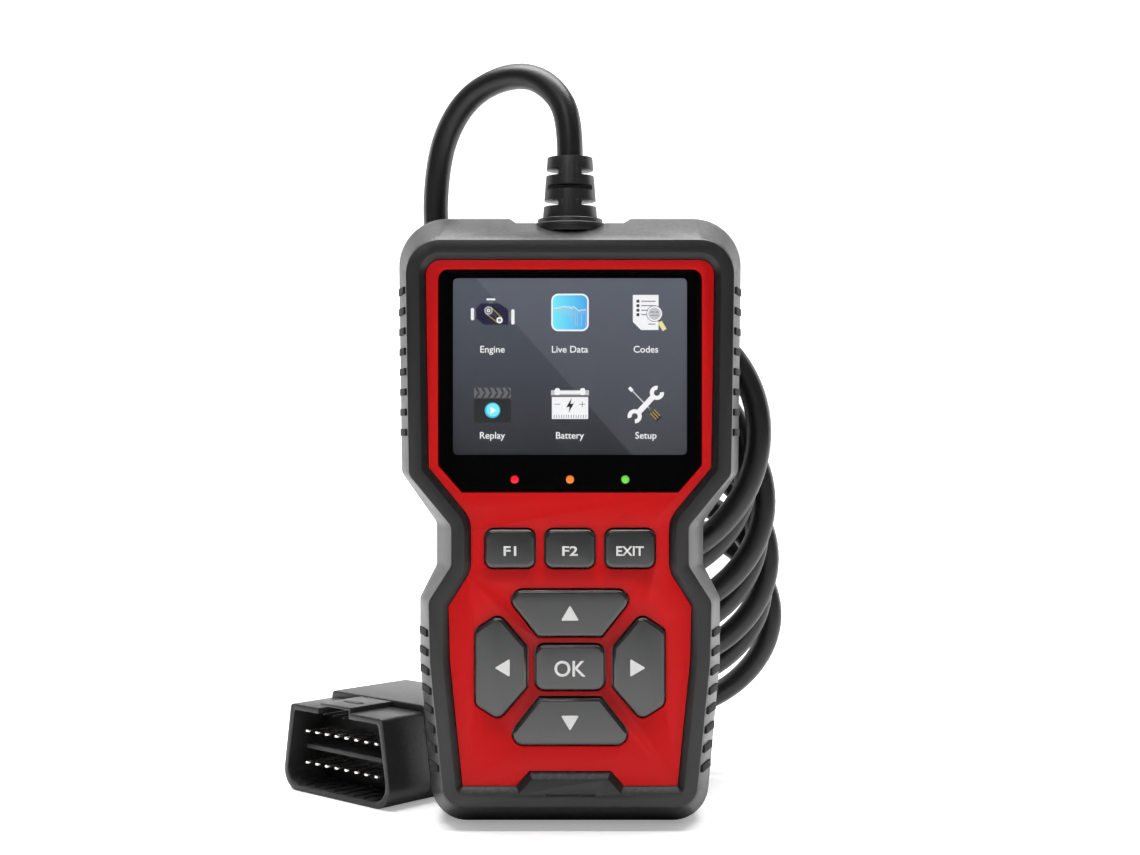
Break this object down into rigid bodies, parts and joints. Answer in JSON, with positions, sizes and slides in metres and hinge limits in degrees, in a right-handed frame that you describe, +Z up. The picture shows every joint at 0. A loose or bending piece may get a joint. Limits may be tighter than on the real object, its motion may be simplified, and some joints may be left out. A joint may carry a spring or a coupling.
{
  "type": "obd code reader",
  "caption": "Handheld vehicle code reader with colour display, keypad and waisted case, standing upright with its looped, coiled cable and 16-pin diagnostic plug.",
  "frame": {"origin": "on the floor under the middle of the case, which stands on its lower edge; cord and plug not counted", "axes": "+Z up along the case, +X to the right as the screen is read, the screen faces -Y"},
  "size_m": [0.1411, 0.132, 0.1914],
  "materials": {
    "case_plastic": "fine satin texture",
    "plate_red": "satin red",
    "lens_glass": "smoked clear window",
    "lcd_glass": "polished",
    "tray_white": "matt",
    "led_red": "clear",
    "led_amber": "clear",
    "led_green": "clear",
    "key_grey": "soft touch",
    "mat_rubber": "matt silicone",
    "switch_steel": "brushed",
    "board_green": "solder mask",
    "chip_black": "matt",
    "header_white": "matt",
    "wire_black": "matt",
    "label_grey": "satin",
    "screw_steel": "dark zinc",
    "boot_rubber": "matt",
    "cord_jacket": "satin PVC",
    "plug_plastic": "fine texture",
    "pin_metal": "bright plated"
  },
  "bodies": {
    "case": {"front_bezel": "case_plastic", "rear_shell": "case_plastic", "face_plate": "plate_red", "screen_lens": "lens_glass", "lcd_panel": "lcd_glass", "lcd_tray": "tray_white", "led_red": "led_red", "led_amber": "led_amber", "led_green": "led_green", "keypad_mat": "mat_rubber", "key_switches": "switch_steel", "main_board": "board_green", "board_chips": "chip_black", "buzzer": "chip_black", "cable_header": "header_white", "inner_wires": "wire_black", "rear_label": "label_grey", "case_screws": "screw_steel", "cable_gland": "boot_rubber", "strain_relief": "boot_rubber", "plug_strain_relief": "boot_rubber", "cable_lead": "cord_jacket", "cable_coil": "cord_jacket", "cable_tail": "cord_jacket", "plug_shell": "plug_plastic", "plug_pin_block": "plug_plastic", "plug_cover_top": "plug_plastic", "plug_cover_bottom": "plug_plastic", "plug_pins": "pin_metal"},
    "key_f1": {"key_f1": "key_grey"},
    "key_f2": {"key_f2": "key_grey"},
    "key_exit": {"key_exit": "key_grey"},
    "key_up": {"key_up": "key_grey"},
    "key_down": {"key_down": "key_grey"},
    "key_left": {"key_left": "key_grey"},
    "key_right": {"key_right": "key_grey"},
    "key_ok": {"key_ok": "key_grey"}
  },
  "joints": [
    {"name": "f1_press", "type": "slide", "parent": "case", "child": "key_f1", "axis": [0, 1, 0], "range_m": [0, 0.0008], "stiffness_N_per_m": 1500},
    {"name": "f2_press", "type": "slide", "parent": "case", "child": "key_f2", "axis": [0, 1, 0], "range_m": [0, 0.0008], "stiffness_N_per_m": 1500},
    {"name": "exit_press", "type": "slide", "parent": "case", "child": "key_exit", "axis": [0, 1, 0], "range_m": [0, 0.0008], "stiffness_N_per_m": 1500},
    {"name": "up_press", "type": "slide", "parent": "case", "child": "key_up", "axis": [0, 1, 0], "range_m": [0, 0.0008], "stiffness_N_per_m": 1800},
    {"name": "down_press", "type": "slide", "parent": "case", "child": "key_down", "axis": [0, 1, 0], "range_m": [0, 0.0008], "stiffness_N_per_m": 1800},
    {"name": "left_press", "type": "slide", "parent": "case", "child": "key_left", "axis": [0, 1, 0], "range_m": [0, 0.0008], "stiffness_N_per_m": 1800},
    {"name": "right_press", "type": "slide", "parent": "case", "child": "key_right", "axis": [0, 1, 0], "range_m": [0, 0.0008], "stiffness_N_per_m": 1800},
    {"name": "ok_press", "type": "slide", "parent": "case", "child": "key_ok", "axis": [0, 1, 0], "range_m": [0, 0.0008], "stiffness_N_per_m": 1500}
  ]
}
